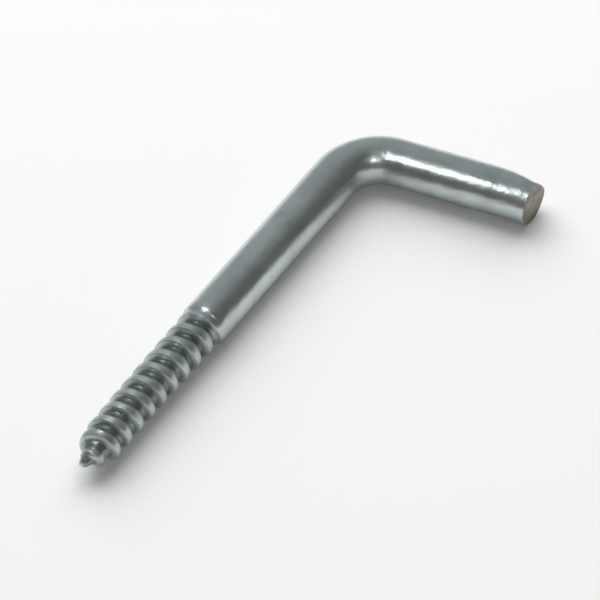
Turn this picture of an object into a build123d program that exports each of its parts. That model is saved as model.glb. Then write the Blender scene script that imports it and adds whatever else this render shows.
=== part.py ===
import os
from math import ceil, cos, radians, sin

from build123d import *

# Square bend screw hook, cold formed from one length of steel wire.
# The shank lies along X with its point at +X. The arm leaves the bend on the +Y side.
# Z is normal to the plane of the bend.
# The origin is on the shank's axis where the thread starts, so X = 0 is the wall's face.

# Wire and bend, in millimetres and degrees
wire_diameter = 4.1
plain_length = 20.3         # straight wire between the bend and the thread
bend_radius = 4.25          # of the wire's centreline
bend_turn = 82.6            # the wire springs back from a square bend
arm_length = 12.65          # straight wire from the bend to the middle of the cut end

# Wood thread
thread_length = 18.2        # from the wall's face to the tip
thread_pitch = 1.71
thread_depth = 0.5
runout_length = 0.8         # over which the groove sinks to its full depth
crest_share = 0.28          # of the pitch, at the crest
root_share = 0.12           # of the pitch, at the bottom of the groove
steep_flank_share = 0.22    # of the pitch, the ridge's flank that faces the tip
crest_drop_start = 0.05     # crest below the wire's surface, at the thread's start
crest_drop_end = 0.19       # the same where the point begins
crest_angle = 291.5         # where round the shank the crest crosses the wall's face, from +Y towards +Z

# Gimlet point
crest_point_length = 2.4    # over which the crest falls to the nub
core_point_length = 3.4     # over which the core falls to the tip
point_crest_share = 0.12    # the ridge narrows to this share of the pitch at the nub
point_bulge = 0.35          # under 1 lets the last of the ridge stand out as a spur
waist_length = 1.9          # from the tip to the bulge of the core
waist_radius = 1.14
nub_length = 0.5            # the blunt nub in front of the ridge
nub_radius = 0.56
tip_radius = 0.42

# Sheared end of the arm
shear_side = 138.4          # direction of the rolled side round the arm, from the inner side towards +Z
shear_slant = 5.0           # of the cut face
roll_length = 4.3           # wire drawn down before the cut face
roll_drop = 0.6             # how far its surface is drawn down at the cut face
roll_corner = 0.7           # radius between the drawn side and the cut face
roll_lift = 0.04            # start of the drawn side above the wire, which sets its first angle
drag_length = 1.6           # wire pushed towards the other side by the blade
drag_offset = 0.2

# Resolution of the ridge's sections, and room for solids that overlap
sections_per_turn = 12
drag_sections = 4
ridge_sink = 0.08           # the ridge's foot below the core's surface
ridge_lead = 0.4            # ridge inside the plain wire before the wall's face
cut_room = 1.0

wire_radius = wire_diameter / 2
full_core_radius = wire_radius - crest_drop_start - thread_depth
full_thread_end = thread_length - crest_point_length
full_core_end = thread_length - core_point_length
nub_start = thread_length - nub_length
gentle_flank_share = 1 - crest_share - root_share - steep_flank_share


def plain_shank():
    start = Plane.YZ.offset(-plain_length)
    return extrude(start * Circle(wire_radius), plain_length)


def bend():
    section = Plane.YZ.offset(-plain_length) * Circle(wire_radius)
    centre = Axis((-plain_length, bend_radius, 0), (0, 0, -1))
    return revolve(section, centre, bend_turn)


def arm_plane():
    # Origin where the bend ends, Z along the arm, X towards the inner side of the hook.
    turn = radians(bend_turn)
    origin = (-plain_length - bend_radius * sin(turn), bend_radius * (1 - cos(turn)), 0)
    return Plane(origin=origin, x_dir=(sin(turn), cos(turn), 0), z_dir=(-cos(turn), sin(turn), 0))


def shear_plane():
    # The arm's plane turned so that X points to the drawn side of the cut.
    return arm_plane() * Rot(0, 0, -shear_side)


def dragged_stretch(start, end):
    # The blade pushes the last of the wire away from the drawn side, more towards the cut.
    sections = []
    for k in range(drag_sections + 1):
        share = k / drag_sections
        place = Pos(-drag_offset * share**2, 0, start + (end - start) * share)
        sections.append(shear_plane() * place * Circle(wire_radius))
    return loft(sections)


def shear_profile():
    # Side view of what the shears leave: X to the drawn side, Y along the arm.
    top = wire_radius - roll_drop
    slant = cos(radians(90 - shear_slant)) / cos(radians(shear_slant))
    low = -wire_radius - drag_offset - cut_room
    roll_start = (wire_radius + roll_lift, arm_length - roll_length)
    cut_top = (top, arm_length + top * slant)
    cut_bottom = (low, arm_length + low * slant)
    middle = (wire_radius - roll_drop / 4 + roll_lift / 2, arm_length - roll_length / 2)
    outline = [
        ThreePointArc(roll_start, middle, cut_top),
        Line(cut_top, cut_bottom),
        Line(cut_bottom, (low, -cut_room)),
        Line((low, -cut_room), (wire_radius + roll_lift, -cut_room)),
        Line((wire_radius + roll_lift, -cut_room), roll_start),
    ]
    face = make_face(outline)
    corner = face.vertices().sort_by_distance((*cut_top, 0))[0]
    return fillet(corner, roll_corner)


def arm():
    drag_start = arm_length - drag_length
    straight = extrude(arm_plane() * Circle(wire_radius), drag_start)
    rod = straight + dragged_stretch(drag_start, arm_length + cut_room)
    side_view = shear_plane() * Rot(90, 0, 0) * shear_profile()
    across = wire_radius + cut_room
    return rod & extrude(side_view, across, both=True)


def core():
    # Outline of the root from the wall's face to the tip.
    outline = Polyline(
        (0, 0),
        (0, wire_radius),
        (runout_length, full_core_radius),
        (full_core_end, full_core_radius),
        (thread_length - waist_length, waist_radius),
        (nub_start, nub_radius),
        (thread_length, tip_radius),
        (thread_length, 0),
        close=True,
    )
    return revolve(make_face(outline), Axis.X)


def core_radius(x):
    # Surface that the ridge stands on. The run-out at the wall only covers it.
    waist = thread_length - waist_length
    if x < full_core_end:
        return full_core_radius
    if x < waist:
        share = (x - full_core_end) / (waist - full_core_end)
        return full_core_radius + (waist_radius - full_core_radius) * share
    share = (x - waist) / (nub_start - waist)
    return waist_radius + (nub_radius - waist_radius) * share


def crest_radius(x):
    if x < full_thread_end:
        share = max(0, x) / full_thread_end
        return wire_radius - crest_drop_start - (crest_drop_end - crest_drop_start) * share
    left = max(0, nub_start - x) / (nub_start - full_thread_end)
    end_radius = nub_radius - ridge_sink / 2
    return end_radius + (wire_radius - crest_drop_end - end_radius) * left**point_bulge


def ridge_section(x):
    # Section of the ridge in a half-plane through the axis, turned with the helix.
    fade = max(0, (x - full_thread_end) / (nub_start - full_thread_end))
    half_crest = (crest_share + (point_crest_share - crest_share) * fade) * thread_pitch / 2
    top = crest_radius(x)
    foot = core_radius(x) - ridge_sink
    rise = (top - foot) / thread_depth * thread_pitch
    outline = Polyline(
        (x - half_crest - gentle_flank_share * rise, foot),
        (x - half_crest, top),
        (x + half_crest, top),
        (x + half_crest + steep_flank_share * rise, foot),
        close=True,
    )
    return Rot(crest_angle + 360 * x / thread_pitch, 0, 0) * make_face(outline)


def ridge():
    # One loft for each turn. Each starts on the section where the last one ends.
    start = -ridge_lead
    count = ceil((nub_start - start) / thread_pitch * sections_per_turn)
    sections = [ridge_section(start + (nub_start - start) * k / count) for k in range(count + 1)]
    turns = range(0, count, sections_per_turn)
    return [loft(sections[k:k + sections_per_turn + 1]) for k in turns]


screw_hook = arm() + bend() + plain_shank() + core() + ridge()

os.makedirs("parts", exist_ok=True)
export_step(screw_hook, "parts/screw_hook.step")
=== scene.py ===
import bpy
import bmesh
from math import atan2, cos, hypot, pi, radians, sin, sqrt, tan
from mathutils import Euler, Matrix, Vector, noise


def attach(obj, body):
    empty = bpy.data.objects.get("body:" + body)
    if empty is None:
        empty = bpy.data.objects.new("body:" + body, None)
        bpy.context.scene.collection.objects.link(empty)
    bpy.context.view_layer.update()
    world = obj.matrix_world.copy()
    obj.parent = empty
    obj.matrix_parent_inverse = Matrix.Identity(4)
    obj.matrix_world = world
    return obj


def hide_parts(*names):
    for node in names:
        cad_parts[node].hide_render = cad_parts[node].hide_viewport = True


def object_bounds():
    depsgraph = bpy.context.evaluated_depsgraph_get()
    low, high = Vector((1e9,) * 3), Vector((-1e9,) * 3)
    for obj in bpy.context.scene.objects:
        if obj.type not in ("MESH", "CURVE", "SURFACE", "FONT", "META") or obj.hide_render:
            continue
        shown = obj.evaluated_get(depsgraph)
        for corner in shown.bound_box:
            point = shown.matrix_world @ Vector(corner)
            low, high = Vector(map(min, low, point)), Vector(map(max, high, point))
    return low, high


# Zinc plated screw hook: one length of wire, threaded, bent and sheared off.
# The shape is in millimetres until makeHook scales it. Finishes, floor, lamps and camera are in metres.

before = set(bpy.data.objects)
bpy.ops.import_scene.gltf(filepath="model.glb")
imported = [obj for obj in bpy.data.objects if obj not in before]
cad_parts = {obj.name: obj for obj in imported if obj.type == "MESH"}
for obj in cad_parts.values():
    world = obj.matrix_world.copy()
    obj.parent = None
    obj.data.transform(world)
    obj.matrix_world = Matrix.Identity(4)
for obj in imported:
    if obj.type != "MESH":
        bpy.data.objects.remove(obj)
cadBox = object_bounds()

wire = {
    "radius": 2.045,             # a hair under the frame's, so that the mesh stays in its box
    "plainLength": 20.3,         # straight wire between the bend and the thread
    "bendRadius": 4.25,          # of the wire's centre line
    "bendTurn": 82.6,
    "armLength": 12.65,
    "shankSteps": 34,
    "bendSteps": 56,
    "armSteps": ((8.0, 12), (3.6, 20), (1.05, 24)),   # lengths and rings, they add up to the arm
    "sharpAngle": 42,
}

thread = {
    "length": 18.2,
    "pitch": 1.71,
    "depth": 0.56,
    "runout": 0.8,               # over which the groove sinks in
    "runoutReach": 1.2,          # times the run-out, where its cone still counts
    "runoutBlend": 0.08,
    "crestShare": 0.34,          # of the pitch
    "steepShare": 0.13,          # of the pitch, the flank that faces the tip
    "rootShare": 0.10,
    "crestDrop": (0.08, 0.25),   # below the wire, at the start and where the point begins
    "crestAngle": 342,           # where round the shank the crest crosses the wall's face
    "stepsPerTurn": 112,
    "cornerRound": 0.12,         # of the ridge's height
    "leastRise": 0.05,
    "pointLength": 2.6,          # over which the crest falls
    "corePointLength": 3.3,      # over which the core falls
    "waist": (1.6, 1.08),        # distance from the tip, radius
    "nub": (0.42, 0.50),         # the same
    "tipRadius": 0.36,
    "tipDome": (0.55, 6),        # how much and how late the nub rounds off
    "tipRings": (0.86, 0.7, 0.5),
    "pointCrestShare": 0.10,
    "pointNarrowing": 1.9,       # over which the crest narrows to that share
    "pointBulge": 0.5,           # under 1 lets the last of the ridge stand out
    "ridgeSink": 0.03,           # its end, under the nub's surface
    "roughness": 0.04,           # uneven surface, only inwards
    "roughnessStart": 1.2,
    "roughnessNoise": ((1.3, 0.9, 0, 1.0), (4.5, 3.1, 7, 0.5)),   # along, round, shift, share
    "bow": 0.16,                 # the rolled thread leans off the axis towards its point
    "bowStart": 6.0,
    "bowSide": (0.86, -0.51),
}

cutEnd = {
    "side": 138.4,               # direction of the drawn side round the arm
    "slant": 5.0,
    "slantStart": 9.0,           # from the bend, where the rings begin to lean
    "rollLength": 4.3,
    "rollLift": 0.04,            # start of the drawn side above the wire
    "rollSlope": 0.076,
    "rollDrop": 0.6,
    "rollCorner": 0.42,
    "rim": 0.07,                 # edge rounded off round the cut face
    "rimSlope": (0.5, 0.4),      # of the rim, how far it starts back and then comes forward
    "dragLength": 1.6,
    "dragOffset": 0.075,
    "blend": 0.10,               # softness where the drawn side meets the round wire
    "bareReach": 0.8,            # of the corner, how far the plating is scraped off
    "bareDepth": 0.02,
}


def smoothMax(a, b, width):
    gap = max(width - abs(a - b), 0) / width
    return max(a, b) + gap * gap * width / 4


def smoothMin(a, b, width):
    return -smoothMax(-a, -b, width)


def between(x, x0, y0, x1, y1):
    return y0 + (y1 - y0) * (x - x0) / (x1 - x0)


def vertsOf(parts):
    return [g for g in parts if isinstance(g, bmesh.types.BMVert)]


def edgesOf(parts):
    return [g for g in parts if isinstance(g, bmesh.types.BMEdge)]


def ringVerts(ring):
    return list(dict.fromkeys(v for e in ring for v in e.verts))


def extrudeRing(mesh, ring, move):
    new = bmesh.ops.extrude_edge_only(mesh, edges=ring)["geom"]
    bmesh.ops.translate(mesh, verts=vertsOf(new), vec=move)
    return edgesOf(new)


def crestRadius(x):
    start, end = (wire["radius"] - drop for drop in thread["crestDrop"])
    pointStart = thread["length"] - thread["pointLength"]
    nubStart = thread["length"] - thread["nub"][0]
    if x < pointStart:
        return between(max(x, 0), 0, start, pointStart, end)
    left = max(nubStart - x, 0) / (nubStart - pointStart)
    low = thread["nub"][1] - thread["ridgeSink"]
    return low + (end - low) * left ** thread["pointBulge"]


def coreRadius(x):
    length = thread["length"]
    full = wire["radius"] - thread["crestDrop"][0] - thread["depth"]
    fullEnd = length - thread["corePointLength"]
    waistPlace, waistRadius = length - thread["waist"][0], thread["waist"][1]
    nubPlace, nubRadius = length - thread["nub"][0], thread["nub"][1]
    if x < fullEnd:
        return full
    if x < waistPlace:
        return between(x, fullEnd, full, waistPlace, waistRadius)
    if x < nubPlace:
        return between(x, waistPlace, waistRadius, nubPlace, nubRadius)
    amount, power = thread["tipDome"]
    near = min(1, (x - nubPlace) / thread["nub"][0])
    cone = between(x, nubPlace, nubRadius, length, thread["tipRadius"])
    return cone * sqrt(1 - amount * near ** power)


def ridgeHeight(share, x):
    # 0 to 1, share is the part of a pitch from the crest's middle towards the tip
    crest, steep, root = thread["crestShare"], thread["steepShare"], thread["rootShare"]
    pointStart = thread["length"] - thread["pointLength"]
    fade = min(1, max(0, (x - pointStart) / thread["pointNarrowing"]))
    width = crest + (thread["pointCrestShare"] - crest) * fade
    rise = (crestRadius(x) - coreRadius(x)) / thread["depth"]
    if share > crest / 2 + steep + root / 2:
        distance, run = 1 - share, 1 - crest - root - steep
    else:
        distance, run = share, steep
    slope = rise - (distance - width / 2) / run
    corner = thread["cornerRound"]
    return smoothMax(smoothMin(slope / max(rise, thread["leastRise"]), 1, corner), 0, corner)


def threadRadius(x, angle):
    share = ((x - angle / (2 * pi) * thread["pitch"]) / thread["pitch"]) % 1
    core, crest = coreRadius(x), crestRadius(x)
    height = ridgeHeight(share, x)
    radius = core + max(crest - core, 0) * height
    if x < thread["runout"] * thread["runoutReach"]:
        cone = between(x, 0, wire["radius"], thread["runout"], core)
        radius = min(wire["radius"], smoothMax(radius, cone, thread["runoutBlend"]))
    return radius, 1 - height


def unevenness(x, y, z):
    total = 0
    for along, across, shift, share in thread["roughnessNoise"]:
        place = Vector((x * along, y * across, z * across + shift))
        total += share * (0.5 + 0.5 * noise.noise(place))
    return total


def shapeThread(mesh):
    # turns a plain spun tube into the thread, and keeps each vertex's depth for the plating's painted
    # shade, darker towards the bottom of each groove
    paintedShadeLayer = mesh.verts.layers.float.new("groove")
    bowStart, bowY, bowZ = thread["bowStart"], *thread["bowSide"]
    for v in mesh.verts:
        x, y, z = v.co
        angle = atan2(z, y) - radians(thread["crestAngle"])
        x = min(max(x, 0), thread["length"])
        radius, low = threadRadius(x, angle)
        # painted shade: the groove's depth, faded in over the run-out, sets how dark the colour is there
        v[paintedShadeLayer] = low * min(1, x / thread["runout"])
        radius -= thread["roughness"] * unevenness(x, y, z) * min(1, x / thread["roughnessStart"])
        size = radius / hypot(y, z)
        lean = thread["bow"] * (max(0, x - bowStart) / (thread["length"] - bowStart)) ** 2
        v.co = (x, y * size + bowY * lean, z * size + bowZ * lean)


def profileShares():
    # where the ridge's outline gets points: close at its corners, wide on its flanks
    crest = thread["crestShare"] / 2
    steepEnd = crest + thread["steepShare"]
    gentleStart = steepEnd + thread["rootShare"]
    gentleEnd = 1 - crest
    shares = [0, crest / 2, 1 - crest / 2, 1]
    shares += [crest + d for d in (-0.03, -0.012, 0.006, 0.024, 0.05)]
    shares += [crest + thread["steepShare"] * k for k in (0.4, 0.6, 0.78)]
    shares += [steepEnd + d for d in (-0.02, 0, 0.03)]
    shares += [gentleStart + d for d in (-0.03, 0, 0.03)]
    shares += [gentleStart + (gentleEnd - gentleStart) * k for k in (0.2, 0.36, 0.52, 0.68, 0.82)]
    shares += [gentleEnd + d for d in (-0.028, -0.01, 0.008, 0.026)]
    return sorted(shares)


def ringAt(mesh, x):
    return [e for e in mesh.edges if e.is_boundary and all(abs(v.co.x - x) < 1e-3 for v in e.verts)]


def makeThread(mesh):
    # one turn is spun, the others are copies of it, and both ends are cut off square
    pitch, steps = thread["pitch"], thread["stepsPerTurn"]
    start = radians(thread["crestAngle"])
    y, z = wire["radius"] * cos(start), wire["radius"] * sin(start)
    verts = [mesh.verts.new(((share - 2) * pitch, y, z)) for share in profileShares()]
    edges = [mesh.edges.new(pair) for pair in zip(verts, verts[1:])]
    bmesh.ops.spin(mesh, geom=verts + edges, cent=(0, 0, 0), axis=(1, 0, 0),
                   dvec=(pitch / steps, 0, 0), angle=2 * pi, steps=steps, use_merge=False)
    oneTurn = mesh.verts[:] + mesh.edges[:] + mesh.faces[:]
    for k in range(1, int(thread["length"] / pitch) + 4):
        copy = bmesh.ops.duplicate(mesh, geom=oneTurn)["geom"]
        bmesh.ops.translate(mesh, verts=vertsOf(copy), vec=(pitch * k, 0, 0))
    bmesh.ops.remove_doubles(mesh, verts=mesh.verts[:], dist=1e-4)
    for x, outer in ((0, False), (thread["length"], True)):
        everything = mesh.verts[:] + mesh.edges[:] + mesh.faces[:]
        bmesh.ops.bisect_plane(mesh, geom=everything, dist=1e-5, plane_co=(x, 0, 0), plane_no=(1, 0, 0),
                               clear_outer=outer, clear_inner=not outer)
    bmesh.ops.dissolve_degenerate(mesh, dist=2e-3, edges=mesh.edges[:])
    shapeThread(mesh)
    return ringAt(mesh, 0), ringAt(mesh, thread["length"])


def closeTip(mesh, ring):
    # blunt end: smaller and smaller rings, then a fan
    for size in thread["tipRings"]:
        ring = extrudeRing(mesh, ring, (0, 0, 0))
        bmesh.ops.scale(mesh, verts=ringVerts(ring), vec=(1, size, size))
    cap = bmesh.ops.holes_fill(mesh, edges=ring, sides=0)["faces"]
    bmesh.ops.poke(mesh, faces=cap)


def armDirection():
    turn = radians(wire["bendTurn"])
    return Vector((-cos(turn), sin(turn), 0))


def makeWire(mesh, ring):
    # returns the last ring, and each ring of the arm with its distance from the bend
    step = wire["plainLength"] / wire["shankSteps"]
    for k in range(wire["shankSteps"]):
        ring = extrudeRing(mesh, ring, (-step, 0, 0))
    centre = (-wire["plainLength"], wire["bendRadius"], 0)
    bent = bmesh.ops.spin(mesh, geom=ringVerts(ring) + ring, cent=centre, axis=(0, 0, -1),
                          angle=radians(wire["bendTurn"]), steps=wire["bendSteps"], use_merge=False)
    ring = edgesOf(bent["geom_last"])
    place = 0
    rings = []
    for length, count in wire["armSteps"]:
        for k in range(count):
            ring = extrudeRing(mesh, ring, armDirection() * length / count)
            place += length / count
            rings.append((place, ringVerts(ring)))
    return ring, rings


def armFrame():
    # X towards the drawn side, Y across it, Z along the arm
    turn = radians(wire["bendTurn"])
    endX = -wire["plainLength"] - wire["bendRadius"] * sin(turn)
    endY = wire["bendRadius"] * (1 - cos(turn))
    x = Vector((sin(turn), cos(turn), 0))
    z = armDirection()
    basis = Matrix((x, z.cross(x), z)).transposed().to_4x4()
    return Matrix.Translation((endX, endY, 0)) @ basis @ Matrix.Rotation(-radians(cutEnd["side"]), 4, "Z")


def rollLimit(s):
    # surface of the drawn side over the axis, s is measured from the bend
    left = wire["armLength"] - s
    t = 1 - left / cutEnd["rollLength"]
    lift, slope, corner = cutEnd["rollLift"], cutEnd["rollSlope"], cutEnd["rollCorner"]
    limit = wire["radius"] + lift - slope * t - (cutEnd["rollDrop"] + lift - slope) * t * t
    if left < corner:
        limit -= corner - sqrt(max(corner ** 2 - (corner - left) ** 2, 0))
    return limit


def shapeCut(rings):
    # slants, pushes and draws down the end of the arm, returns the vertices of the bare corner
    here = armFrame()
    back = here.inverted()
    length, slantStart = wire["armLength"], cutEnd["slantStart"]
    bare = set()
    for s, verts in rings:
        lean = min(1, max(0, (s - slantStart) / (length - slantStart)))
        scraped = length - s < cutEnd["bareReach"] * cutEnd["rollCorner"]
        for v in verts:
            p = back @ v.co
            p.z += p.x * tan(radians(cutEnd["slant"])) * lean ** 2
            drag = max(0, p.z - length + cutEnd["dragLength"]) / cutEnd["dragLength"]
            p.x -= cutEnd["dragOffset"] * drag ** 2
            if s > length - cutEnd["rollLength"]:
                limit = rollLimit(s)
                if scraped and p.x > limit - cutEnd["bareDepth"]:
                    bare.add(v)
                p.x = smoothMin(p.x, limit, cutEnd["blend"])
            v.co = here @ p
    return bare


def closeCut(mesh, ring, bare):
    # the shears leave bare steel on the face and round its upper corner
    rim = cutEnd["rim"]
    setBack, forward = (share * rim for share in cutEnd["rimSlope"])
    corner = [f for f in mesh.faces if all(v in bare for v in f.verts)]
    bmesh.ops.translate(mesh, verts=ringVerts(ring), vec=armDirection() * -setBack)
    face = bmesh.ops.holes_fill(mesh, edges=ring, sides=0)["faces"]
    edge = bmesh.ops.inset_region(mesh, faces=face, thickness=rim, depth=forward, use_even_offset=False)
    for f in corner + face + edge["faces"]:
        f.material_index = 1
    bmesh.ops.poke(mesh, faces=face)


def newMaterial(name):
    material = bpy.data.materials.new(name)
    material.use_nodes = True
    tree = material.node_tree
    return material, tree, tree.nodes["Principled BSDF"]


def node(tree, kind, **values):
    # sets what isn't an input, links what is a socket, and writes the other inputs
    made = tree.nodes.new(kind)
    for key, value in values.items():
        if key not in made.inputs:
            setattr(made, key, value)
        elif isinstance(value, bpy.types.NodeSocket):
            tree.links.new(value, made.inputs[key])
        else:
            made.inputs[key].default_value = value
    return made


def noiseFrom(tree, place, scale, detail, roughness):
    made = node(tree, "ShaderNodeTexNoise", Vector=place, Scale=scale, Detail=detail, Roughness=roughness)
    return made.outputs["Fac"]


def spreadFrom(tree, value, source, target=(0, 1), **more):
    made = node(tree, "ShaderNodeMapRange", Value=value, **more)
    made.inputs["From Min"].default_value, made.inputs["From Max"].default_value = source
    made.inputs["To Min"].default_value, made.inputs["To Max"].default_value = target
    return made.outputs["Result"]


def mixFrom(tree, factor, a, b):
    return node(tree, "ShaderNodeMix", data_type="RGBA", Factor=factor, A=a, B=b).outputs["Result"]


def dressMetal(tree, shader, colour, roughness, normal):
    for name, value in (("Base Color", colour), ("Roughness", roughness), ("Normal", normal)):
        tree.links.new(value, shader.inputs[name])
    shader.inputs["Metallic"].default_value = 1


plating = {
    "bright": (0.54, 0.61, 0.61, 1),
    "dull": (0.44, 0.50, 0.50, 1),
    "cloud": (260, 4, 0.6),      # scale, detail and roughness of the noise
    "cloudRange": (0.35, 0.6),
    # painted shade: the colour at the bottom of the thread's grooves, where shade falls
    "groove": (0.20, 0.235, 0.225, 1),
    "grooveRange": (0.45, 0.98),    # depth at which the painted shade in the groove starts and is full
    "grooveShare": 0.85,
    "roughness": (0.24, 0.40),
    "threadRoughness": 0.10,     # more than on the plain wire
    "threadStart": 0.0012,
    "grain": (5200, 3, 0.6),
    "grainBump": (0.10, 0.00005),   # strength and distance
    "wave": (900, 2, 0.5),       # slow unevenness of the drawn wire
    "waveBump": (0.35, 0.0002),
    "film": 0.6,                 # clear passivation over the zinc
    "filmRoughness": 0.08,
}


def zincPlating():
    material, tree, shader = newMaterial("zincPlating")
    place = node(tree, "ShaderNodeTexCoord").outputs["Object"]
    grain = noiseFrom(tree, place, *plating["grain"])
    cloud = spreadFrom(tree, noiseFrom(tree, place, *plating["cloud"]), plating["cloudRange"])
    colour = mixFrom(tree, cloud, plating["dull"], plating["bright"])
    # painted shade: the colour darkens towards the bottom of each groove of the thread
    groove = node(tree, "ShaderNodeAttribute", attribute_name="groove").outputs["Fac"]
    paintedShade = spreadFrom(tree, groove, plating["grooveRange"], (0, plating["grooveShare"]))
    colour = mixFrom(tree, paintedShade, colour, plating["groove"])
    # the rolled thread is duller than the drawn wire
    along = node(tree, "ShaderNodeSeparateXYZ", Vector=place).outputs["X"]
    rolled = spreadFrom(tree, along, (0, plating["threadStart"]), (0, plating["threadRoughness"]))
    both = node(tree, "ShaderNodeMath", operation="ADD")
    tree.links.new(spreadFrom(tree, grain, (0, 1), plating["roughness"]), both.inputs[0])
    tree.links.new(rolled, both.inputs[1])
    strength, distance = plating["waveBump"]
    swell = noiseFrom(tree, place, *plating["wave"])
    wave = node(tree, "ShaderNodeBump", Strength=strength, Distance=distance, Height=swell)
    strength, distance = plating["grainBump"]
    bump = node(tree, "ShaderNodeBump", Strength=strength, Distance=distance, Height=grain,
                Normal=wave.outputs["Normal"])
    dressMetal(tree, shader, colour, both.outputs["Value"], bump.outputs["Normal"])
    shader.inputs["Coat Weight"].default_value = plating["film"]
    shader.inputs["Coat Roughness"].default_value = plating["filmRoughness"]
    return material


sheared = {
    "light": (0.36, 0.34, 0.29, 1),
    "dark": (0.13, 0.115, 0.09, 1),
    "streaks": (1, 5, 0.65),
    "streakStretch": (400, 400, 2600),
    "streakTurn": (35, 0, 8),
    "streakRange": (0.35, 0.65),
    "roughness": (0.35, 0.55),
    "bump": (0.35, 0.00008),
}


def bareSteel():
    material, tree, shader = newMaterial("shearedSteel")
    place = node(tree, "ShaderNodeTexCoord").outputs["Object"]
    turn = tuple(radians(angle) for angle in sheared["streakTurn"])
    turned = node(tree, "ShaderNodeMapping", Vector=place, Rotation=turn, Scale=sheared["streakStretch"])
    streaks = noiseFrom(tree, turned.outputs["Vector"], *sheared["streaks"])
    share = spreadFrom(tree, streaks, sheared["streakRange"])
    colour = mixFrom(tree, share, sheared["dark"], sheared["light"])
    rough = spreadFrom(tree, streaks, (0, 1), sheared["roughness"])
    strength, distance = sheared["bump"]
    bump = node(tree, "ShaderNodeBump", Strength=strength, Distance=distance, Height=streaks)
    dressMetal(tree, shader, colour, rough, bump.outputs["Normal"])
    return material


def makeHook():
    mesh = bmesh.new()
    wallRing, tipRing = makeThread(mesh)
    closeTip(mesh, tipRing)
    cutRing, rings = makeWire(mesh, wallRing)
    bare = shapeCut(rings)
    closeCut(mesh, cutRing, bare)
    bmesh.ops.recalc_face_normals(mesh, faces=mesh.faces[:])
    bmesh.ops.scale(mesh, vec=(0.001, 0.001, 0.001), verts=mesh.verts[:])
    data = bpy.data.meshes.new("screwHook")
    mesh.to_mesh(data)
    mesh.free()
    data.shade_smooth()
    data.set_sharp_from_angle(angle=radians(wire["sharpAngle"]))
    piece = bpy.data.objects.new("screwHook", data)
    bpy.context.scene.collection.objects.link(piece)
    data.materials.append(zincPlating())
    data.materials.append(bareSteel())
    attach(piece, "root")
    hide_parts("screw_hook")
    triangles = sum(len(p.vertices) - 2 for p in data.polygons)
    print("hook made:", len(data.polygons), "faces", triangles, "triangles")


studio = {
    "floor": (0.93, 0.93, 0.93, 1),
    "floorRoughness": 0.9,
    "floorSize": 3,
    "skyDark": (0.150, 0.143, 0.125, 1),
    "skyLight": (0.44, 0.465, 0.47, 1),
    "skySide": (-0.55, -0.75, 0.37),   # where the sky is light
    "skyRange": (-0.1, 1.05),
}

shot = {
    "target": (-0.00650, 0.00537, 0),
    "azimuth": 126.0,
    "elevation": 44.85,
    "roll": -4.6,
    "distance": 0.6,
    "lens": 432,
    "sensor": 36,
    "clip": (0.01, 10),
}

# size is width along the arm and across it
# inMetal shows the lamp in reflections, onFloor lets it light the floor
lamps = {
    "keyLamp": {
        "place": (-0.31, -0.25, 0.42),
        "aim": shot["target"],
        "size": (0.80, 0.80),
        "watts": 5.0,
        "inMetal": False,
        "onFloor": True,
    },
    "armLamp": {
        "place": (0.0031, -0.0081, 0.0505),
        "aim": (-0.0251, 0.0084, 0),
        "size": (0.0109, 0.021),
        "watts": 0.0056,
        "inMetal": True,
        "onFloor": False,
    },
    "frontLamp": {
        "place": (0.42, 0.32, 0.53),
        "aim": shot["target"],
        "size": (0.10, 0.10),
        "watts": 0.5,
        "inMetal": True,
        "onFloor": True,
    },
}


def makeFloor():
    flat = bmesh.new()
    bmesh.ops.create_grid(flat, x_segments=1, y_segments=1, size=studio["floorSize"])
    bmesh.ops.translate(flat, verts=flat.verts[:], vec=(0, 0, cadBox[0].z))
    data = bpy.data.meshes.new("floor")
    flat.to_mesh(data)
    flat.free()
    floor = bpy.data.objects.new("floor", data)
    bpy.context.scene.collection.objects.link(floor)
    material, tree, shader = newMaterial("paleFloor")
    shader.inputs["Base Color"].default_value = studio["floor"]
    shader.inputs["Roughness"].default_value = studio["floorRoughness"]
    shader.inputs["Specular IOR Level"].default_value = 0
    data.materials.append(material)
    print("floor laid")


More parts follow.
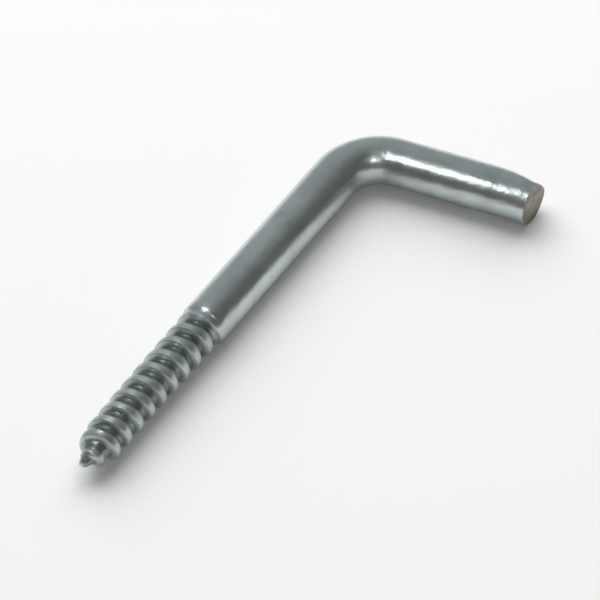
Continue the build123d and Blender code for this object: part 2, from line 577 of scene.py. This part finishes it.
def makeSky():
    world = bpy.data.worlds.new("studioSky")
    bpy.context.scene.world = world
    world.use_nodes = True
    tree = world.node_tree
    way = node(tree, "ShaderNodeTexCoord").outputs["Generated"]
    side = node(tree, "ShaderNodeVectorMath", operation="DOT_PRODUCT")
    side.inputs[1].default_value = studio["skySide"]
    tree.links.new(way, side.inputs[0])
    light = spreadFrom(tree, side.outputs["Value"], studio["skyRange"], interpolation_type="SMOOTHSTEP")
    shade = mixFrom(tree, light, studio["skyDark"], studio["skyLight"])
    tree.links.new(shade, tree.nodes["Background"].inputs["Color"])


def makeLamp(name):
    values = lamps[name]
    data = bpy.data.lights.new(name, "AREA")
    data.shape = "RECTANGLE"
    data.size, data.size_y = values["size"]
    data.energy = values["watts"]
    lamp = bpy.data.objects.new(name, data)
    bpy.context.scene.collection.objects.link(lamp)
    z = (Vector(values["place"]) - Vector(values["aim"])).normalized()
    x = armDirection()
    x = (x - z * x.dot(z)).normalized()
    turn = Matrix((x, z.cross(x), z)).transposed().to_4x4()
    lamp.matrix_world = Matrix.Translation(values["place"]) @ turn
    lamp.visible_camera = False
    lamp.visible_glossy = values["inMetal"]
    lamp.visible_diffuse = values["onFloor"]


def makeCamera():
    data = bpy.data.cameras.new("camera")
    camera = bpy.data.objects.new("camera", data)
    bpy.context.scene.collection.objects.link(camera)
    data.sensor_width = shot["sensor"]
    data.lens = shot["lens"]
    data.clip_start, data.clip_end = shot["clip"]
    turn = Euler((radians(90 - shot["elevation"]), 0, radians(shot["azimuth"]))).to_matrix().to_4x4()
    turn = turn @ Matrix.Rotation(radians(shot["roll"]), 4, "Z")
    place = Vector(shot["target"]) + turn.to_3x3() @ Vector((0, 0, shot["distance"]))
    camera.matrix_world = Matrix.Translation(place) @ turn
    bpy.context.scene.camera = camera
    print("camera placed")


makeHook()
makeFloor()
makeSky()
for name in lamps:
    makeLamp(name)
print("lit by", len(lamps), "lamps and the sky")
makeCamera()
bpy.context.scene.view_settings.view_transform = "Standard"
